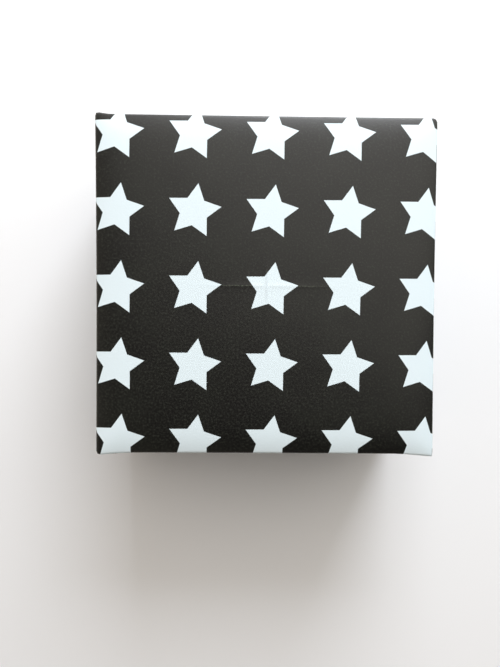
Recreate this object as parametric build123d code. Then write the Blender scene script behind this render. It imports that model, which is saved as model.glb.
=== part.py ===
from build123d import *

import math
import os

# Sizes are in millimetres. Each tray is one square of paper, folded with no cut.
# Whole box
SHEET_SIDE = 210.0  # side of the square that the lid is folded from
PLAY = 0.40  # room on each side between the lid's linings and the base

# Paper
PAPER = 0.15  # thickness of the sheet
AIR = 0.09  # space that stays between two layers

# Folds, by the radius on the inside of the bend
FOOT_INSIDE = 0.30  # where a wall turns up from the panel
FLAP_INSIDE = 0.15  # where a lining turns in over the panel
CORNER_INSIDE = 0.12  # where a plain lining turns into a thick wall
DRAW = 3.00  # height over which the thick wall draws in towards its rim
SEAM = 0.12  # room beside the line where two flaps meet

# Creases pinched across the middle of the sheet before it is folded
CREASE_LONG = 15.0  # reach of the longer one from the middle
CREASE_SHORT = 4.0  # reach of the shorter one
CREASE_WIDTH = 0.50
CREASE_DEPTH = 0.04

# Corners fold to the sheet's middle and edges to its middle line
SIDE_SHARE = 1 / (2 * math.sqrt(2))

# Sizes that follow from the paper
PITCH = PAPER + AIR  # from one layer to the next
LINED = PITCH + PAPER  # thickness of a plain wall, two layers
GUSSET = 5 * PITCH + PAPER  # thickness of a thick wall, six layers
TURN = LINED / 2  # outside radius of a sheet folded back on itself
FOOT_BEND = FOOT_INSIDE + PAPER
FLAP_BEND = FLAP_INSIDE + PAPER
CORNER_BEND = CORNER_INSIDE + LINED

# Planes to draw sections on, named for what they face
FACING_X = Plane((0, 0, 0), x_dir=(0, 1, 0), z_dir=(1, 0, 0))
FACING_Y = Plane((0, 0, 0), x_dir=(-1, 0, 0), z_dir=(0, 1, 0))
OVER_RIM_X = Plane((0, 0, 0), x_dir=(0, 0, 1), z_dir=(0, 1, 0))
OVER_RIM_Y = Plane((0, 0, 0), x_dir=(0, 0, 1), z_dir=(1, 0, 0))
DOWN_X = Plane((0, 0, 0), x_dir=(1, 0, 0), z_dir=(0, 1, 0))
DOWN_Y = Plane((0, 0, 0), x_dir=(0, 0, -1), z_dir=(1, 0, 0))


def hard_fold(middle: tuple, plane: Plane) -> Sketch:
    """Section of a fold creased hard, bulging along the plane's x."""
    kept = Pos(TURN / 2, 0) * Rectangle(TURN, 2 * TURN)
    return Plane(middle, x_dir=plane.x_dir, z_dir=plane.z_dir) * (Circle(TURN) & kept)


def half_turn(radius: float, middle: tuple, plane: Plane, thick: float = PAPER) -> Sketch:
    """Section of a sheet turned back round other layers, bulging along the plane's x."""
    ring = Circle(radius) - Circle(radius - thick)
    kept = Pos(radius / 2, 0) * Rectangle(radius, 2 * radius)
    return Plane(middle, x_dir=plane.x_dir, z_dir=plane.z_dir) * (ring & kept)


def quarter_turn(radius: float, middle: tuple, plane: Plane, thick: float = PAPER) -> Sketch:
    """Section of a sheet turned by a right angle, between the plane's x and y."""
    ring = Circle(radius) - Circle(radius - thick)
    kept = Pos(radius / 2, radius / 2) * Rectangle(radius, radius)
    return Plane(middle, x_dir=plane.x_dir, z_dir=plane.z_dir) * (ring & kept)


def outline(points: list[tuple[float, float]]) -> Sketch:
    """Closed outline with straight sides."""
    return make_face(Polyline(*points, close=True).edges())


def facet(points: list[tuple[float, float]], plane: Plane) -> Part:
    """Flat piece of the sheet, one paper thick, drawn on the plane under it."""
    return extrude(plane * outline(points), PAPER)


class Tray:
    """Open square tray folded from one sheet, its thick walls facing y.

    A quarter is built, with x and y positive, and mirrored. The thick wall's
    layers are counted from the outside: 0 is the wall, 5 is its lining, and
    1 to 4 are the gusset. The gusset lies above a diagonal from the foot of
    the corner to the middle of the rim.
    """

    def __init__(self, side: float) -> None:
        self.half = side / 2
        self.height = side / 2
        self.spring = self.height - GUSSET / 2  # where the rims start to turn
        self.plain_top = self.spring + TURN
        self.foot_top = FOOT_BEND + PAPER  # up to here the corners are closed
        self.lining_foot = PITCH + FLAP_BEND
        self.nose = self.half - TURN  # where the flat of layers 0 and 1 ends
        self.drawn_nose = self.nose - 2 * PITCH  # where that of 4 and 5 ends
        self.bend = self.half - CORNER_BEND  # where that of 2 and 3 ends
        self.plain_end = self.half - 2 * PITCH - CORNER_BEND
        self.fold = self.half + TURN * math.sqrt(2)  # x plus z along the gusset's fold
        self.fold_end = self.fold - self.spring  # where that fold meets the rim
        self.flap_x = self.half - PITCH - FLAP_BEND
        self.flap_y = self.half - 5 * PITCH - FLAP_BEND

    def foot(self) -> Part:
        """Panel with its edges turned up, closed at the corners."""
        outside = self.foot_block(self.half, FOOT_BEND, 0)
        inside = self.foot_block(self.half - PAPER, FOOT_INSIDE, PAPER)
        return outside - inside

    def foot_block(self, reach: float, radius: float, bottom: float) -> Part:
        """Block between the walls' feet, rounded along its lower edges."""
        top = self.foot_top
        profile = outline([(0, bottom), (reach, bottom), (reach, top), (0, top)])
        corner = profile.vertices().sort_by(Axis.X)[-2:].sort_by(Axis.Y)[0]
        profile = fillet(corner, radius)
        from_x = extrude(FACING_X * profile, reach)
        from_y = extrude(mirror(FACING_Y * profile, Plane.YZ), reach, dir=(0, 1, 0))
        return from_x & from_y

    def plain_wall(self) -> list[Part]:
        """Wall and lining of the plain side, and the rim between them."""
        end, top = self.plain_end, self.spring
        shapes = (
            (self.half - PAPER, self.foot_top),
            (self.half - LINED, self.lining_foot),
        )
        sheets = [
            facet([(0, low), (end, low), (end, top), (0, top)], FACING_X.offset(place))
            for place, low in shapes
        ]
        rim = hard_fold((self.nose, 0, top), OVER_RIM_X)
        return sheets + [extrude(rim, end)]

    def plain_corner(self) -> list[Part]:
        """Turn of the plain side into layers 2 and 3, its rim pressed flat."""
        shapes = (
            (CORNER_BEND, self.foot_top, PAPER),
            (CORNER_BEND - PITCH, self.lining_foot, PAPER),
            (CORNER_BEND, self.plain_top - PAPER, LINED),
        )
        return [
            extrude(
                quarter_turn(radius, (self.bend, self.plain_end, low), Plane.XY, thick),
                self.plain_top - low,
            )
            for radius, low, thick in shapes
        ]

    def thick_wall(self) -> list[Part]:
        """The six flat layers of the thick side, drawn in x and z."""
        top, nose, drawn, bend = self.spring, self.nose, self.drawn_nose, self.bend
        low, foot, draw_foot = self.foot_top, self.lining_foot, self.spring - DRAW
        fold, raw, start = self.fold, self.half, self.fold_end
        shapes = (
            [(0, low), (nose, low), (nose, draw_foot), (drawn, top), (0, top)],
            [(start, top), (nose, fold - nose), (nose, draw_foot), (drawn, top)],
            [(start, top), (bend, fold - bend), (bend, top)],
            [(raw - top, top), (bend, raw - bend), (bend, top)],
            [(raw - top, top), (drawn, raw - drawn), (drawn, top)],
            [(0, foot), (drawn, foot), (drawn, top), (0, top)],
        )
        return [
            facet([(-x, z) for x, z in shape], FACING_Y.offset(self.half - count * PITCH - PAPER))
            for count, shape in enumerate(shapes)
        ]

    def gusset_fold(self) -> Part:
        """Fold along the diagonal that joins layers 1 and 2."""
        middle = (self.fold_end, self.half - PITCH - TURN, self.spring)
        across = Plane(middle, x_dir=(-1, 0, -1), z_dir=(1, 0, -1))
        run = 2 * (self.bend - self.fold_end)
        bent = extrude(hard_fold(middle, across), run, both=True)
        corner = (Align.MIN, Align.MIN, Align.MIN)
        return bent & Pos(0, self.half - GUSSET, 0) * Box(self.bend, GUSSET, self.spring, align=corner)

    def noses(self) -> list[Part]:
        """Upright folds at the corner that join layers 0 and 1, and 4 and 5."""
        draw_foot = self.spring - DRAW
        outer = hard_fold((self.nose, self.half - TURN, self.foot_top), Plane.XY)
        leaning = hard_fold((self.nose, self.half - TURN, draw_foot), Plane.XY)
        inner_place = (self.drawn_nose, self.half - 4 * PITCH - TURN, self.lining_foot)
        inner = hard_fold(inner_place, Plane.XY)
        lean = Vector(self.drawn_nose - self.nose, 0, DRAW)
        return [
            extrude(outer, draw_foot - self.foot_top),
            extrude(leaning, lean.length, dir=lean),
            extrude(inner, self.spring - self.lining_foot),
        ]

    def thick_rim(self) -> list[Part]:
        """The three sheets that turn over the thick rim, their ends pressed flat."""
        end, middle, start = self.drawn_nose + TURN, self.half - GUSSET / 2, self.fold_end
        shapes = (
            (GUSSET / 2, 0, end, PAPER),
            (GUSSET / 2 - PITCH, start, end, PAPER),
            (GUSSET / 2, end - PAPER, end, LINED),
        )
        wide = [
            extrude(half_turn(radius, (low, middle, self.spring), OVER_RIM_Y, thick), high - low)
            for radius, low, high, thick in shapes
        ]
        inmost = hard_fold((start, middle, self.spring), OVER_RIM_Y)
        return wide + [extrude(inmost, self.bend - start)]

    def flaps(self) -> list[Part]:
        """Pointed flaps over the panel, and the bends that join them to the linings."""
        over_panel = Plane.XY.offset(PITCH)
        reach_x, reach_y = self.flap_x, self.flap_y
        side_x, side_y = reach_x - AIR, reach_y - AIR
        bend_x = quarter_turn(FLAP_BEND, (reach_x, 0, self.lining_foot), DOWN_X)
        bend_y = quarter_turn(FLAP_BEND, (0, reach_y, self.lining_foot), DOWN_Y)
        return [
            facet([(SEAM, 0), (reach_x, 0), (reach_x, side_y), (side_y + SEAM, side_y)], over_panel),
            facet([(0, SEAM), (reach_y - SEAM, reach_y), (0, reach_y)], over_panel),
            extrude(bend_x, side_y),
            extrude(bend_y, side_x),
        ]

    def creases(self) -> Part:
        """Cutter for the crossing creases on the outside of the panel."""
        edge = CREASE_WIDTH / 2
        groove = outline([(-edge, 0), (edge, 0), (0, CREASE_DEPTH)])
        return extrude(FACING_X * groove, CREASE_LONG) + extrude(FACING_Y * groove, CREASE_SHORT)

    def build(self) -> Part:
        """The whole tray, open side up, its panel on the ground."""
        quarter = self.foot() - self.creases()
        quarter += self.plain_wall() + self.plain_corner() + self.thick_wall() + self.noses()
        quarter += [self.gusset_fold()] + self.thick_rim() + self.flaps()
        half = quarter + mirror(quarter, Plane.YZ)
        return half + mirror(half, Plane.XZ)


# Lid, turned over so that its rim is on the ground and its panel on top
lid_side = SHEET_SIDE * SIDE_SHARE
lid_tray = Tray(lid_side)
lid = Pos(0, 0, lid_tray.height) * Rot(180, 0, 0) * lid_tray.build()
lid.label = "lid"

# Base, a quarter turn from the lid, made to go between the lid's thick walls
base_side = lid_side - 2 * (GUSSET + PLAY)
base = Rot(0, 0, 90) * Tray(base_side).build()
base.label = "base"

os.makedirs("parts", exist_ok=True)
for node in (lid, base):
    export_step(node, f"parts/{node.label}.step")
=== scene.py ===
"""Dresses the origami star box: two folded sheets of printed paper on a pale table."""

import logging
import math
from dataclasses import dataclass, field
from enum import Enum

import bmesh
import bpy
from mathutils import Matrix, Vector, noise


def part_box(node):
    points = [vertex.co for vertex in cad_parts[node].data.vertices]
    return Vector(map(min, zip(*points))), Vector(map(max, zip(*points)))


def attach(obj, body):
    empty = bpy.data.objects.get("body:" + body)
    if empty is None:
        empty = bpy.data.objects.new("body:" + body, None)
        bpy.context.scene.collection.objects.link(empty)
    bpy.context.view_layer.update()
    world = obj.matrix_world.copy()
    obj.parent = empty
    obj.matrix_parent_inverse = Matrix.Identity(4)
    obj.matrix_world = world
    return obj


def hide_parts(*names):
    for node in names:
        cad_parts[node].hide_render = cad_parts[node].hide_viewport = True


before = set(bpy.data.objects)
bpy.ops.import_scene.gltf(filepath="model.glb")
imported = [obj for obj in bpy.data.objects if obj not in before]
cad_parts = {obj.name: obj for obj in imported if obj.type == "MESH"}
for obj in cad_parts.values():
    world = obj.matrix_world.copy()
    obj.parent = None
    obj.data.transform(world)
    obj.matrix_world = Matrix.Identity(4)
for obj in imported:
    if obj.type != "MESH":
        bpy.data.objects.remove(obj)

MM = 0.001
LOG = logging.getLogger("star_box")

# Layers of the fold in millimetres, as in the solids: the sheet, the step from one folded layer
# to the next, a lined wall, a gusseted wall, the top of the rounded foot and the pinched creases
PAPER = 0.15
PITCH = 0.24
LINED = PITCH + PAPER
GUSSET = 5 * PITCH + PAPER
FOOT_TOP = 0.60
CREASE_DEPTH = 0.04
CREASE_LONG = 15.0
CREASE_SHORT = 4.0

# Tolerances in millimetres: where a depth is compared with a layer's, where points of the mesh
# are merged, and where the mesh is cut on a plane
SLIP = 0.01
MERGE = 0.002
ON_PLANE = 0.001

# Faces that turn by less than the first lie in one plane, edges that turn by more than the
# second are sharp, and a face whose normal rises by less than the third stands upright
FLAT_ANGLE = math.radians(0.3)
SHARP_ANGLE = math.radians(32)
UPRIGHT = 0.05

# Powers that keep a shift to the walls, a corner's stand to the corner and the slow waves away
# from the folds, and a power and a root that keep a drop to the last millimetres before them
WALL_POWER = 4
CORNER_POWER = 1.5
WAVE_POWER = 6
EDGE_POWER = 48
EDGE_ROOT = 0.25

# Width of the square of sheet coordinates that the UV map holds
SHEET_SPAN = 300.0
SHEET_MAP = "sheet"

# A star is the same in each of its ten sectors, from a tip to the next inner corner, and two
# whole turns keep the angle that is folded into one of them above zero
SECTOR = math.pi / 5
WHOLE_TURNS = 4 * math.pi

# Height of the camera's film in millimetres, and its nearest reach in metres
FILM_HEIGHT = 36.0
NEAR = 0.005

# What feeds a node's input, a smooth step, which is two values and then the output at each,
# and the setting that makes it smooth
Feed = bpy.types.NodeSocket | float | tuple[float, ...]
Step = tuple[float, float, float, float]
SMOOTH = {"interpolation_type": "SMOOTHSTEP"}


class Axis(Enum):
    """Direction in the plan of the box."""

    X = 0
    Y = 1


def linear(code: str) -> tuple[float, float, float, float]:
    """Turns an sRGB hex colour to linear.

    Args:
        code: Six hex digits.

    Returns:
        Linear red, green, blue and an alpha of 1.
    """
    parts = [int(code[i : i + 2], 16) / 255 for i in (0, 2, 4)]
    low = [c / 12.92 if c <= 0.04045 else ((c + 0.055) / 1.055) ** 2.4 for c in parts]
    return (low[0], low[1], low[2], 1.0)


def add_node(
    tree: bpy.types.NodeTree,
    kind: str,
    *inputs: Feed,
    named: dict[str | int, Feed] | None = None,
    output: str | int = 0,
    **settings: str | bool,
) -> bpy.types.NodeSocket:
    """Adds a node with its settings and links.

    Args:
        tree: Node tree that the node goes into.
        kind: Node type.
        inputs: What feeds the node's first inputs, in their order.
        named: What feeds inputs that are given by name or number.
        output: Name or number of the output that is handed back.
        settings: Attributes of the node.

    Returns:
        The output socket, whose own node gives the others.
    """
    node = tree.nodes.new(kind)
    for name, value in settings.items():
        setattr(node, name, value)
    for key, value in {**dict(enumerate(inputs)), **(named or {})}.items():
        if isinstance(value, bpy.types.NodeSocket):
            tree.links.new(value, node.inputs[key])
        else:
            node.inputs[key].default_value = value
    return node.outputs[output]


def corner_of(plain: float, thick: float) -> int:
    """Number of the corner next to a place, in the order (+, +), (-, +), (+, -) and (-, -).

    Args:
        plain: Place along the plain side's axis.
        thick: Place along the thick side's axis.

    Returns:
        A number from 0 to 3.
    """
    return (plain < 0) + 2 * (thick < 0)


@dataclass(frozen=True)
class StarPrint:
    """Five-pointed stars in straight rows, in millimetres on the sheet.

    Attributes:
        pitch: Distance from one star to the next.
        tip: Distance from a star's middle to its tips.
        valley_share: Distance to the inner corners over that to the tips.
        turn: Direction of one tip, in degrees from the sheet's u axis.
        middle: Place of one star's middle on the sheet.
        skew: How far the print runs out of square on the sheet.
        blur: Width of the printed edge.
    """

    pitch: float = 16.69
    tip: float = 6.00
    valley_share: float = 0.518
    turn: float = 81.0
    middle: tuple[float, float] = (0.99, -0.79)
    skew: float = 0.004
    blur: float = 0.10

    def mask(
        self, tree: bpy.types.NodeTree, place: bpy.types.NodeSocket
    ) -> bpy.types.NodeSocket:
        """Share of bare paper at a place on the sheet.

        Args:
            tree: Node tree.
            place: Sheet coordinates in millimetres.

        Returns:
            Socket that is 1 on a star and 0 between the stars.
        """
        x, y = self.cell(tree, place)
        angle = add_node(tree, "ShaderNodeMath", y, x, operation="ARCTAN2")
        turned = WHOLE_TURNS - math.radians(self.turn)
        angle = add_node(tree, "ShaderNodeMath", angle, turned, operation="ADD")
        angle = add_node(tree, "ShaderNodeMath", angle, SECTOR, operation="PINGPONG")
        flat = add_node(tree, "ShaderNodeCombineXYZ", x, y)
        reach = add_node(tree, "ShaderNodeVectorMath", flat, output="Value", operation="LENGTH")
        cosine = add_node(tree, "ShaderNodeMath", angle, operation="COSINE")
        sine = add_node(tree, "ShaderNodeMath", angle, operation="SINE")
        along = add_node(tree, "ShaderNodeMath", reach, cosine, operation="MULTIPLY")
        across = add_node(tree, "ShaderNodeMath", reach, sine, operation="MULTIPLY")

        # Distance from the straight edge that joins a tip to an inner corner
        valley = self.tip * self.valley_share
        rise = valley * math.sin(SECTOR)
        run = self.tip - valley * math.cos(SECTOR)
        edge = math.hypot(rise, run)
        beyond = add_node(tree, "ShaderNodeMath", along, self.tip, operation="SUBTRACT")
        beyond = add_node(tree, "ShaderNodeMath", beyond, rise / edge, operation="MULTIPLY")
        aside = add_node(tree, "ShaderNodeMath", across, run / edge, operation="MULTIPLY")
        beyond = add_node(tree, "ShaderNodeMath", beyond, aside, operation="ADD")
        ends = (-self.blur / 2, self.blur / 2)
        return add_node(tree, "ShaderNodeMapRange", beyond, *ends, 1.0, 0.0, **SMOOTH)

    def cell(
        self, tree: bpy.types.NodeTree, place: bpy.types.NodeSocket
    ) -> list[bpy.types.NodeSocket]:
        """Place within the square that belongs to one star.

        Args:
            tree: Node tree.
            place: Sheet coordinates in millimetres.

        Returns:
            Sockets of x and y from the star's middle.
        """
        half = self.pitch / 2
        ways = add_node(tree, "ShaderNodeSeparateXYZ", place).node.outputs
        swapped = add_node(tree, "ShaderNodeCombineXYZ", ways[1], ways[0])
        skew = (self.skew, self.skew, 0)
        skewed = add_node(
            tree, "ShaderNodeVectorMath", swapped, skew, place, operation="MULTIPLY_ADD"
        )
        shift = (-self.middle[0], -self.middle[1], 0)
        moved = add_node(
            tree, "ShaderNodeMapping", named={"Vector": skewed, "Location": shift}
        )
        ends = ((half, half, half), (-half, -half, -half))
        cell = add_node(tree, "ShaderNodeVectorMath", moved, *ends, operation="WRAP")
        return add_node(tree, "ShaderNodeSeparateXYZ", cell).node.outputs[:2]


@dataclass(frozen=True)
class PrintedPaper:
    """Coated gift paper of about 120 g, offset printed in black on white.

    The ink gives a dull sheen, and the bare paper in the stars is a cool white. Each
    step reads the mottle, the clouds or the distance from a line in millimetres, and
    gives wear or roughness; the one on the short crease gives painted shade.

    Attributes:
        name: Name of the material.
        ink: Colour of the black ink.
        ink_worn: Colour of the ink where fibres show through it.
        white: Colour of the stars.
        white_painted_shade: Painted shade of the short crease's ridge, on the bare stars.
        ink_roughness: Roughness of the ink, by the mottle.
        white_roughness: Roughness of the bare stars.
        grain: Height of the paper's grain, in millimetres.
        fibre: Width of the mottle that the fibres give the ink, in millimetres. The
            real grain, about 0.1 mm wide, is too fine to show, so it is drawn as
            coarse as it needs to show.
        cloud: Width of the slow clouds in the ink, in millimetres.
        mottled: Wear by the mottle.
        clouded: Wear by the clouds.
        crack: Line of wear on the pinched creases, by distance.
        crack_broken: Wear on that line, by the mottle.
        shade: Line of painted shade along the short crease in the white, by distance.
        rubbed: Line of wear along the folds, by distance.
        rubbed_broken: Wear on that line, by the mottle.
        folds: Distances of the fold lines from the sheet's middle lines.
        stars: The print.
    """

    name: str
    ink: str = "050504"
    ink_worn: str = "1D201A"
    white: str = "DCEBF2"
    # Grey for the painted shade along the short crease, on the bare stars
    white_painted_shade: str = "D2E0E7"
    ink_roughness: Step = (0.35, 0.70, 0.37, 0.49)
    white_roughness: float = 0.60
    grain: float = 0.016
    fibre: float = 1 / 2.2
    cloud: float = 1 / 0.09
    mottled: Step = (0.47, 0.74, 0.0, 1.3)
    clouded: Step = (0.3, 0.7, 0.0, 0.25)
    crack: Step = (0.02, 0.14, 1.0, 0.0)
    crack_broken: Step = (0.42, 0.56, 1.25, 5.0)
    shade: Step = (0.06, 0.42, 1.0, 0.0)
    rubbed: Step = (0.1, 0.5, 1.0, 0.0)
    rubbed_broken: Step = (0.52, 0.62, 0.0, 2.5)
    folds: tuple[float, ...] = ()
    stars: StarPrint = StarPrint()

    def material(self) -> bpy.types.Material:
        """The printed face's material.

        Returns:
            A material that reads the sheet map.
        """
        made = bpy.data.materials.new(self.name)
        made.use_nodes = True
        tree = made.node_tree
        shader = tree.nodes["Principled BSDF"]
        spread = {
            "Vector": add_node(tree, "ShaderNodeUVMap", uv_map=SHEET_MAP),
            "Scale": (SHEET_SPAN, SHEET_SPAN, 1),
            "Location": (-SHEET_SPAN / 2, -SHEET_SPAN / 2, 0),
        }
        place = add_node(tree, "ShaderNodeMapping", named=spread)
        star = self.stars.mask(tree, place)
        ways = add_node(tree, "ShaderNodeSeparateXYZ", place).node.outputs[:2]
        away = [add_node(tree, "ShaderNodeMath", way, operation="ABSOLUTE") for way in ways]

        mottle = {"Vector": place, "Scale": 1 / self.fibre, "Detail": 3.0, "Roughness": 0.65}
        fibre = add_node(tree, "ShaderNodeTexNoise", named=mottle, output="Fac")
        black = self.worn_ink(tree, place, away, fibre)
        # The stars' white, greyed along the short crease by painted shade of its ridge
        pale = add_node(
            tree,
            "ShaderNodeMix",
            self.crease_line(tree, away[::-1], CREASE_SHORT, self.shade),
            named={6: linear(self.white), 7: linear(self.white_painted_shade)},
            output=2,
            data_type="RGBA",
        )
        printed = add_node(
            tree, "ShaderNodeMix", star, named={6: black, 7: pale}, output=2, data_type="RGBA"
        )
        tree.links.new(printed, shader.inputs["Base Color"])

        sheen = add_node(tree, "ShaderNodeMapRange", fibre, *self.ink_roughness, **SMOOTH)
        ends = (0.0, 1.0, sheen, self.white_roughness)
        dull = add_node(tree, "ShaderNodeMapRange", star, *ends, **SMOOTH)
        tree.links.new(dull, shader.inputs["Roughness"])
        relief = {"Height": fibre, "Distance": self.grain * MM, "Strength": 1.0}
        grain = add_node(tree, "ShaderNodeBump", named=relief, output="Normal")
        tree.links.new(grain, shader.inputs["Normal"])
        return made

    def worn_ink(
        self,
        tree: bpy.types.NodeTree,
        place: bpy.types.NodeSocket,
        away: list[bpy.types.NodeSocket],
        fibre: bpy.types.NodeSocket,
    ) -> bpy.types.NodeSocket:
        """Colour of the black ink, mottled by fibres and shaded by slow clouds.

        Args:
            tree: Node tree.
            place: Sheet coordinates in millimetres.
            away: Distances from the sheet's two middle lines.
            fibre: The mottle.

        Returns:
            Socket for the colour.
        """
        slow = {"Vector": place, "Scale": 1 / self.cloud, "Detail": 2.0}
        cloud = add_node(tree, "ShaderNodeTexNoise", named=slow, output="Fac")
        mottled = add_node(tree, "ShaderNodeMapRange", fibre, *self.mottled, **SMOOTH)
        clouded = add_node(tree, "ShaderNodeMapRange", cloud, *self.clouded, **SMOOTH)
        wear = add_node(tree, "ShaderNodeMath", mottled, clouded, operation="ADD")
        cracked = self.cracked_ink(tree, away, fibre)
        return add_node(
            tree,
            "ShaderNodeMix",
            add_node(tree, "ShaderNodeMath", wear, cracked, operation="ADD"),
            named={6: linear(self.ink), 7: linear(self.ink_worn)},
            output=2,
            data_type="RGBA",
            clamp_factor=False,
        )

    def cracked_ink(
        self,
        tree: bpy.types.NodeTree,
        away: list[bpy.types.NodeSocket],
        fibre: bpy.types.NodeSocket,
    ) -> bpy.types.NodeSocket:
        """Worn ink on the pinched creases and along the folds.

        Args:
            tree: Node tree.
            away: Distances from the sheet's two middle lines.
            fibre: The mottle, which breaks the lines up.

        Returns:
            Socket for the added wear.
        """
        pinched = add_node(
            tree,
            "ShaderNodeMath",
            self.crease_line(tree, away, CREASE_LONG, self.crack),
            self.crease_line(tree, away[::-1], CREASE_SHORT, self.crack),
            operation="MAXIMUM",
        )
        broken = add_node(tree, "ShaderNodeMapRange", fibre, *self.crack_broken, **SMOOTH)
        worn = add_node(tree, "ShaderNodeMath", pinched, broken, operation="MULTIPLY")
        broken = add_node(tree, "ShaderNodeMapRange", fibre, *self.rubbed_broken, **SMOOTH)
        for fold in self.folds:
            for across in away:
                beside = add_node(tree, "ShaderNodeMath", across, fold, operation="SUBTRACT")
                beside = add_node(tree, "ShaderNodeMath", beside, operation="ABSOLUTE")
                line = add_node(tree, "ShaderNodeMapRange", beside, *self.rubbed, **SMOOTH)
                line = add_node(tree, "ShaderNodeMath", line, broken, operation="MULTIPLY")
                worn = add_node(tree, "ShaderNodeMath", worn, line, operation="MAXIMUM")
        return worn

    def crease_line(
        self,
        tree: bpy.types.NodeTree,
        away: list[bpy.types.NodeSocket],
        reach: float,
        width: Step,
    ) -> bpy.types.NodeSocket:
        """Line on a pinched crease, which fades out over the outer half of its length.

        Args:
            tree: Node tree.
            away: Distances from the sheet's middle along the crease and across it.
            reach: Distance from the sheet's middle to the crease's ends.
            width: How the line fades across the crease.

        Returns:
            Socket that is 1 on the line and 0 away from it.
        """
        along, across = away
        ends = (reach / 2, reach, 1.0, 0.0)
        beside = add_node(tree, "ShaderNodeMapRange", across, *width, **SMOOTH)
        length = add_node(tree, "ShaderNodeMapRange", along, *ends, **SMOOTH)
        return add_node(tree, "ShaderNodeMath", beside, length, operation="MULTIPLY")


@dataclass(frozen=True)
class CutEdge:
    """Raw cut edge of the sheet, where the white core shows, dull and fibrous.

    Attributes:
        name: Name of the material.
        core: Colour of the paper's core.
        roughness: Roughness of the cut fibres.
    """

    name: str = "cut_paper"
    core: str = "DCDAD4"
    roughness: float = 0.8

    def material(self) -> bpy.types.Material:
        """The plain white material of the cut edges.

        Returns:
            A material without a pattern.
        """
        made = bpy.data.materials.new(self.name)
        made.use_nodes = True
        shader = made.node_tree.nodes["Principled BSDF"]
        shader.inputs["Base Color"].default_value = linear(self.core)
        shader.inputs["Roughness"].default_value = self.roughness
        return made


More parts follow.
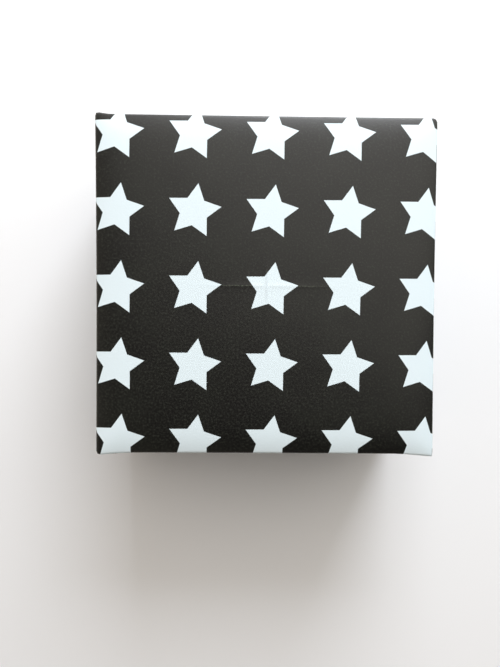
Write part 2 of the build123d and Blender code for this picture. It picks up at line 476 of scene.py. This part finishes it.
@dataclass
class FoldedTray:
    """One square sheet folded into a tray, softened from its solid.

    Depth is measured from the outside of the panel towards the rim, and side
    places run from the tray's middle. All sizes are in millimetres.

    Attributes:
        node: Name of the solid, which is also its body's name.
        thick: Axis that the gusseted walls face.
        turned_over: Whether the panel is on top.
        paper: Finish of the printed face.
        grid: Spacing of the cuts that let the flat faces bend.
        fine: Spacing near the edges.
        edge_zone: Width of the finely cut band along the edges.
        edge_gap: How far from the edge the last cut stays.
        depths: Depths of the cuts round the walls.
        dome: Drop of the panel's edges below its middle, over the whole panel.
        edge_drop: Further drop over the last few millimetres before the folds.
        wave: Height of the slow waves in the panel.
        wave_rate: Waves to a millimetre.
        wave_slice: Where the waves are cut from their noise.
        slack: How far the gusseted walls draw in away from their corners.
        slack_fade: Share of that which is gone at the corners.
        stand: How far each corner's fold stands out past its wall's line, for the
            corners in the order of the signs (+, +), (-, +), (+, -) and (-, -).
        stand_reach: Length of the wall along which it does, in the same order.
        stand_lip: Share of the stand at the panel's fold, and the depth at which
            it is whole.
        stand_fall: Share of the stand that is lost below, the depth where the loss
            starts and the length over which it goes on.
        bow: How far the plain walls bow in at their middles.
        flare: How far their ends stand out.
        lean: How far the plain walls' ends are shifted, against each other.
        rounding: Radius of the corners in plan, in the same order.
        pinch: Heights of the long and the short pinched crease, on a panel that
            nothing presses flat.
        pinch_width: Distance from a crease at which its ridge has mostly faded.
        pinch_cuts: Places of the cuts beside them.
        flap_lift: How far the flaps' tips stand off the panel, for the flaps on the
            plain sides and then on the thick ones, positive side first.
    """

    node: str
    thick: Axis
    turned_over: bool
    paper: PrintedPaper
    grid: float = 2.4
    fine: float = 1.0
    edge_zone: float = 8.0
    edge_gap: float = 0.7
    depths: tuple[float, ...] = (0.8, 1.2, 2.0, 3.0, 4.5, 6.5, 10.0, 16.0, 24.0)
    dome: float = 0.45
    edge_drop: float = 0.70
    wave: float = 0.06
    wave_rate: float = 0.06
    wave_slice: float = 3.1
    slack: float = 0.28
    slack_fade: float = 0.35
    stand: tuple[float, float, float, float] = (0.10, 0.62, 0.74, 0.72)
    stand_reach: tuple[float, float, float, float] = (8.5, 3.5, 8.5, 8.5)
    stand_lip: tuple[float, float] = (0.75, 1.2)
    stand_fall: tuple[float, float, float] = (0.6, 2.0, 8.0)
    bow: float = 0.05
    flare: float = 0.17
    lean: float = 0.12
    rounding: tuple[float, float, float, float] = (1.1, 0.7, 0.3, 0.9)
    pinch: tuple[float, float] = (0.05, 0.085)
    pinch_width: float = 0.45
    pinch_cuts: tuple[float, ...] = (0.0, 0.2, 0.5, 0.9)
    flap_lift: tuple[float, float, float, float] = (0.9, 0.5, 0.7, 0.4)
    half: float = field(init=False)
    height: float = field(init=False)

    def __post_init__(self) -> None:
        """Takes the tray's size from its solid."""
        low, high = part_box(self.node)
        self.half = (high.x - low.x) / 2 / MM
        self.height = (high.z - low.z) / MM

    def build(self) -> bpy.types.Object:
        """Makes the piece that stands for the solid.

        Returns:
            The finished object, on its body.
        """
        sheet = self.copy_solid()
        self.cut_grid(sheet)
        self.spread_map(sheet)
        self.settle(sheet)
        mesh = bpy.data.meshes.new(f"folded_{self.node}")
        sheet.to_mesh(mesh)
        sheet.free()
        mesh.materials.append(self.paper.material())
        mesh.materials.append(CutEdge(name=f"cut_paper_{self.node}").material())
        mesh.set_sharp_from_angle(angle=SHARP_ANGLE)
        piece = bpy.data.objects.new(f"folded_{self.node}", mesh)
        bpy.context.collection.objects.link(piece)
        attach(piece, self.node)
        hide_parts(self.node)
        LOG.info("%s: %d faces", piece.name, len(mesh.polygons))
        return piece

    def copy_solid(self) -> bmesh.types.BMesh:
        """Merged copy of the solid's mesh, its flat faces whole again.

        The pinched creases are levelled here, and come back rounded when the sheet settles.

        Returns:
            A bmesh in metres, in the row frame.
        """
        sheet = bmesh.new()
        sheet.from_mesh(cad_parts[self.node].data)
        bmesh.ops.remove_doubles(sheet, verts=sheet.verts, dist=MERGE * MM)
        for vert in sheet.verts:
            plain, thick, depth = self.local(vert.co)
            if depth < CREASE_DEPTH + SLIP and max(abs(plain), abs(thick)) < self.half / 2:
                vert.co.z = self.height * MM if self.turned_over else 0.0
        bmesh.ops.dissolve_degenerate(sheet, dist=MERGE * MM, edges=sheet.edges)
        bmesh.ops.dissolve_limit(
            sheet, angle_limit=FLAT_ANGLE, verts=sheet.verts, edges=sheet.edges
        )
        for face in sheet.faces:
            face.smooth = True
        return sheet

    def cut_places(self, reach: float) -> list[float]:
        """Places of the cuts from the middle to one edge.

        Args:
            reach: Distance from the middle to the edge.

        Returns:
            Places in millimetres, close together near the edge.
        """
        places, place = list(self.pinch_cuts), self.grid
        while place < reach - self.edge_gap:
            places.append(place)
            place += self.grid if place < reach - self.edge_zone else self.fine
        return places

    def cut_grid(self, sheet: bmesh.types.BMesh) -> None:
        """Cuts the flat faces so that they can bend.

        Args:
            sheet: The tray's mesh.
        """
        for axis in (Vector((1, 0, 0)), Vector((0, 1, 0))):
            for place in self.cut_places(self.half):
                for way in (-1, 1):
                    self.cut(sheet, axis * way * place, axis)
        for depth in self.depths:
            height = depth if self.turned_over else self.height - depth
            self.cut(sheet, Vector((0, 0, height)), Vector((0, 0, 1)))

    def cut(self, sheet: bmesh.types.BMesh, place: Vector, normal: Vector) -> None:
        """Cuts the mesh on one plane, keeping both sides.

        Args:
            sheet: The tray's mesh.
            place: Point on the plane, in millimetres.
            normal: The plane's normal.
        """
        geometry = sheet.verts[:] + sheet.edges[:] + sheet.faces[:]
        bmesh.ops.bisect_plane(
            sheet, geom=geometry, dist=ON_PLANE * MM, plane_co=place * MM, plane_no=normal
        )

    def local(self, co: Vector) -> tuple[float, float, float]:
        """Place in the tray: along the plain side's axis, the thick side's, and depth.

        Args:
            co: Point in the row frame, in metres.

        Returns:
            Plain place, thick place and depth, in millimetres.
        """
        depth = self.height - co.z / MM if self.turned_over else co.z / MM
        if self.thick is Axis.Y:
            return co.x / MM, co.y / MM, depth
        return co.y / MM, co.x / MM, depth

    def in_flaps(self, plain: float, thick: float, depth: float) -> bool:
        """Whether a place is in the pointed flaps that lie over the panel.

        Args:
            plain: Place along the plain side's axis.
            thick: Place along the thick side's axis.
            depth: Depth from the panel.

        Returns:
            True in the flaps' layer, between the walls.
        """
        inside = abs(plain) < self.half - LINED and abs(thick) < self.half - GUSSET
        return inside and PITCH - SLIP < depth < LINED + SLIP

    def spread_map(self, sheet: bmesh.types.BMesh) -> None:
        """Writes the place of each corner on the flat sheet into the sheet map.

        Args:
            sheet: The tray's mesh, before it settles.
        """
        layer = sheet.loops.layers.uv.new(SHEET_MAP)
        for face in sheet.faces:
            plain, thick, depth = self.local(face.calc_center_median())
            gap_plain, gap_thick = self.half - abs(plain), self.half - abs(thick)
            on_plain = gap_plain / LINED < gap_thick / GUSSET
            on_panel = depth < PAPER + CREASE_DEPTH
            before_rim = gap_plain < LINED / 2 if on_plain else gap_thick < GUSSET / 2
            outside = on_panel or before_rim
            if self.in_flaps(plain, thick, depth):
                on_plain, outside = abs(plain) > abs(thick), False
                if abs(face.normal.z) < UPRIGHT and not on_panel:
                    face.material_index = 1
            for loop in face.loops:
                place = self.local(loop.vert.co)
                loop[layer].uv = self.sheet_place(place, on_plain, outside)

    def sheet_place(
        self, place: tuple[float, float, float], on_plain: bool, outside: bool
    ) -> Vector:
        """Where a point of the tray lies on the flat sheet.

        Args:
            place: The point's plain place, thick place and depth.
            on_plain: Whether it belongs to a plain side, and not a thick one.
            outside: Whether it lies before the rim, and not behind it.

        Returns:
            Map coordinates, from 0 to 1 over the sheet's span.
        """
        plain, thick, depth = place
        moved = self.settled(plain, thick, depth)
        if on_plain:
            fold = self.settled(math.copysign(self.half, plain), thick, FOOT_TOP)
        else:
            fold = self.settled(plain, math.copysign(self.half, thick), FOOT_TOP)
        axis = 0 if on_plain else 1
        along, across = moved[axis], moved[1 - axis]
        shift = abs(fold[axis]) - self.half
        inner_face = self.half - (LINED if on_plain else GUSSET)
        top = self.height - (2 * PITCH if on_plain else 0)
        stretched = depth * self.height / top
        if outside and depth <= FOOT_TOP + SLIP:
            run = abs(along) + depth
        elif outside:
            run = self.half + shift + stretched
        else:
            behind = max(0.0, inner_face - abs(place[axis]))
            run = 3 * self.half + shift - stretched + behind
        run = math.copysign(run, along)
        u, v = (run, across) if on_plain else (across, run)
        return Vector((u / SHEET_SPAN + 0.5, v / SHEET_SPAN + 0.5))

    def settle(self, sheet: bmesh.types.BMesh) -> None:
        """Gives the flat folds the slight curves of real paper.

        Args:
            sheet: The tray's mesh.
        """
        for vert in sheet.verts:
            plain, thick, depth = self.settled(*self.local(vert.co))
            z = self.height - depth if self.turned_over else depth
            x, y = (plain, thick) if self.thick is Axis.Y else (thick, plain)
            vert.co = Vector((x, y, z)) * MM

    def settled(self, plain: float, thick: float, depth: float) -> tuple[float, float, float]:
        """Place of a point once the paper has settled.

        Args:
            plain: Place along the plain side's axis.
            thick: Place along the thick side's axis.
            depth: Depth from the panel.

        Returns:
            The same three, after the shift.
        """
        plain, thick = self.rounded(plain, thick)
        p, t, d = plain / self.half, thick / self.half, depth / self.height
        near_panel = (1 - d) ** 2
        standing = self.standing(plain, thick, depth)
        draw = (self.slack * (1 - self.slack_fade * p * p) - standing) * t**WALL_POWER
        bow = (self.bow * (1 - t * t) - self.flare * t * t) * p**WALL_POWER
        in_sheet = depth < PAPER + SLIP
        if self.in_flaps(plain, thick, depth):
            on_plain = abs(plain) > abs(thick)
            along = plain if on_plain else thick
            lift = self.flap_lift[2 * (not on_plain) + (along < 0)]
            depth += lift * (1 - abs(along) / self.half)
        if self.turned_over:
            depth += self.drop(plain, thick) * near_panel
            if in_sheet:
                depth -= self.pinched(plain, thick)
        return (
            plain - math.copysign(1.0, plain) * bow - self.lean * t * p**WALL_POWER,
            thick - math.copysign(1.0, thick) * draw,
            depth,
        )

    def standing(self, plain: float, thick: float, depth: float) -> float:
        """How far a gusseted corner's fold stands out at a place on its wall.

        Args:
            plain: Place along the plain side's axis.
            thick: Place along the thick side's axis.
            depth: Depth from the panel.

        Returns:
            Distance past the wall's line.
        """
        corner = corner_of(plain, thick)
        gap = (1 - abs(plain / self.half)) * self.half
        near_corner = max(0.0, 1 - gap / self.stand_reach[corner]) ** CORNER_POWER
        (share, whole), (loss, start, length) = self.stand_lip, self.stand_fall
        lip = share + (1 - share) * min(1.0, depth / whole)
        lip *= 1 - loss * min(1.0, max(0.0, depth - start) / length)
        return self.stand[corner] * near_corner * lip

    def drop(self, plain: float, thick: float) -> float:
        """How far the panel of a lid sinks, so that only its middle is at the full height.

        Args:
            plain: Place along the plain side's axis.
            thick: Place along the thick side's axis.

        Returns:
            Distance below the solid's flat panel.
        """
        p, t = plain / self.half, thick / self.half
        edge = self.edge_drop * (p**EDGE_POWER + t**EDGE_POWER) ** EDGE_ROOT
        edge += self.dome * math.hypot(p * p, t * t)
        place = Vector((plain * self.wave_rate, thick * self.wave_rate, self.wave_slice))
        calm = (1 - abs(p) ** WAVE_POWER, 1 - abs(t) ** WAVE_POWER)
        wave = self.wave * noise.noise(place) * calm[0] * calm[1]
        return edge + max(self.pinch) + wave

    def pinched(self, plain: float, thick: float) -> float:
        """Height of the pinched creases at a place on the panel.

        Args:
            plain: Place along the plain side's axis.
            thick: Place along the thick side's axis.

        Returns:
            Height above the panel, in millimetres.
        """
        ways = ((plain, thick, CREASE_LONG), (thick, plain, CREASE_SHORT))
        return max(
            height
            * math.exp(-((across / self.pinch_width) ** 2))
            * max(0.0, 1 - (along / reach) ** 2)
            for height, (along, across, reach) in zip(self.pinch, ways)
        )

    def rounded(self, plain: float, thick: float) -> tuple[float, float]:
        """Place of a point in plan once the corners are rounded.

        Args:
            plain: Place along the plain side's axis.
            thick: Place along the thick side's axis.

        Returns:
            The same two, drawn in where they lie in a corner.
        """
        start = self.half - self.rounding[corner_of(plain, thick)]
        a, b = abs(plain) - start, abs(thick) - start
        if a <= 0 or b <= 0:
            return plain, thick
        share = max(a, b) / math.hypot(a, b)
        return math.copysign(start + a * share, plain), math.copysign(start + b * share, thick)


@dataclass(frozen=True)
class Lamp:
    """A square soft lamp turned to the box.

    Attributes:
        name: Name of the lamp.
        place: Its place, in metres.
        size: Its side, in metres.
        power: Its power, in watts.
        colour: Colour of its light.
    """

    name: str
    place: tuple[float, float, float]
    size: float
    power: float
    colour: str

    def build(self) -> None:
        """Adds the lamp."""
        data = bpy.data.lights.new(self.name, "AREA")
        data.shape = "SQUARE"
        data.size = self.size
        data.energy = self.power
        data.color = linear(self.colour)[:3]
        lamp = bpy.data.objects.new(self.name, data)
        lamp.location = self.place
        lamp.rotation_euler = (-Vector(self.place)).to_track_quat("-Z", "Y").to_euler()
        bpy.context.collection.objects.link(lamp)


@dataclass
class Studio:
    """Pale table, light from a low window and the sky beyond it, and the camera.

    Attributes:
        table: Colour of the table.
        table_roughness: Its roughness.
        table_reach: Distance from its middle to its edges, in metres.
        lamps: The window at the picture's upper side, and the higher light that
            gives the ink its sheen.
        backdrop: Colour of what is seen beyond the table.
        room: Colour of the light from all round.
        fill: Strength of the light from all round.
        by_height: Share of it by how high it comes from.
        by_depth: Share of it from the near side to the far one.
        by_side: Share of it from the left to the right.
        camera_place: Place of the camera, in millimetres.
        camera_turn: Turn of the camera, in degrees.
        lens: Focal length for a picture 36 mm high.
    """

    table: str = "F0F2F5"
    table_roughness: float = 0.7
    table_reach: float = 1.5
    lamps: tuple[Lamp, ...] = (
        Lamp("window", (0.11, 0.53, 0.26), 0.36, 4.85, "F3F8FF"),
        Lamp("sky", (0.28, 0.48, 0.73), 1.20, 7.6, "FFF9F0"),
    )
    backdrop: str = "EDEEF0"
    room: str = "FFF0E1"
    fill: float = 0.46
    by_height: Step = (0.2, 0.9, 1.0, 0.03)
    by_depth: Step = (-0.9, 0.3, 0.55, 1.2)
    by_side: Step = (-0.8, 0.8, 2.9, 0.3)
    camera_place: tuple[float, float, float] = (-5.244, -6.788, 153.95)
    camera_turn: tuple[float, float, float] = (-1.757, -0.855, 0.496)
    lens: float = 29.09

    def build(self) -> None:
        """Adds the table, the lights and the camera."""
        self.add_table()
        for lamp in self.lamps:
            lamp.build()
        self.add_room()
        self.add_camera()
        bpy.context.scene.view_settings.view_transform = "Standard"

    def add_table(self) -> None:
        """Adds the table, a matt white laminate that shows the box's shadow and no gloss."""
        top = bmesh.new()
        bmesh.ops.create_grid(top, x_segments=1, y_segments=1, size=self.table_reach)
        mesh = bpy.data.meshes.new("table")
        top.to_mesh(mesh)
        top.free()
        made = bpy.data.materials.new("table_white")
        made.use_nodes = True
        shader = made.node_tree.nodes["Principled BSDF"]
        shader.inputs["Base Color"].default_value = linear(self.table)
        shader.inputs["Roughness"].default_value = self.table_roughness
        mesh.materials.append(made)
        table = bpy.data.objects.new("table", mesh)
        bpy.context.collection.objects.link(table)

    def add_room(self) -> None:
        """Adds the light from all round, weaker from above, the near side and the right."""
        world = bpy.data.worlds.new("room")
        world.use_nodes = True
        tree = world.node_tree
        way = add_node(tree, "ShaderNodeTexCoord", output="Generated")
        right, far, up = add_node(tree, "ShaderNodeSeparateXYZ", way).node.outputs
        low, high, start, end = self.by_height
        ends = (low, high, self.fill * start, self.fill * end)
        strength = add_node(tree, "ShaderNodeMapRange", up, *ends, **SMOOTH)
        for value, step in ((far, self.by_depth), (right, self.by_side)):
            share = add_node(tree, "ShaderNodeMapRange", value, *step, **SMOOTH)
            strength = add_node(tree, "ShaderNodeMath", strength, share, operation="MULTIPLY")
        lit = add_node(tree, "ShaderNodeBackground", linear(self.room), strength)
        seen = add_node(tree, "ShaderNodeBackground", linear(self.backdrop))
        looked_at = add_node(tree, "ShaderNodeLightPath", output="Is Camera Ray")
        both = add_node(tree, "ShaderNodeMixShader", looked_at, lit, seen)
        tree.links.new(both, tree.nodes["World Output"].inputs["Surface"])
        bpy.context.scene.world = world

    def add_camera(self) -> None:
        """Adds the camera at the photograph's viewing angle."""
        data = bpy.data.cameras.new("camera")
        data.sensor_fit = "VERTICAL"
        data.sensor_height = FILM_HEIGHT
        data.lens = self.lens
        data.clip_start = NEAR
        camera = bpy.data.objects.new("camera", data)
        camera.location = Vector(self.camera_place) * MM
        camera.rotation_euler = [math.radians(a) for a in self.camera_turn]
        bpy.context.collection.objects.link(camera)
        bpy.context.scene.camera = camera


def main() -> None:
    """Builds the box and the studio, and logs each piece's number of faces."""
    logging.basicConfig(level=logging.INFO)
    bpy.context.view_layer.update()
    lid_paper = PrintedPaper("lid_print", folds=(37.2, 74.3))
    FoldedTray(node="lid", thick=Axis.Y, turned_over=True, paper=lid_paper).build()
    base_stars = StarPrint(turn=117.0, middle=(4.3, 6.1))
    FoldedTray(
        node="base",
        thick=Axis.X,
        turned_over=False,
        paper=PrintedPaper("base_print", folds=(35.4, 70.8), stars=base_stars),
        slack=0.3,
        stand=(0.20, 0.28, 0.24, 0.28),
        flare=0.0,
        flap_lift=(0.5, 0.3, 0.6, 0.35),
    ).build()
    Studio().build()


if __name__ == "__main__":
    main()
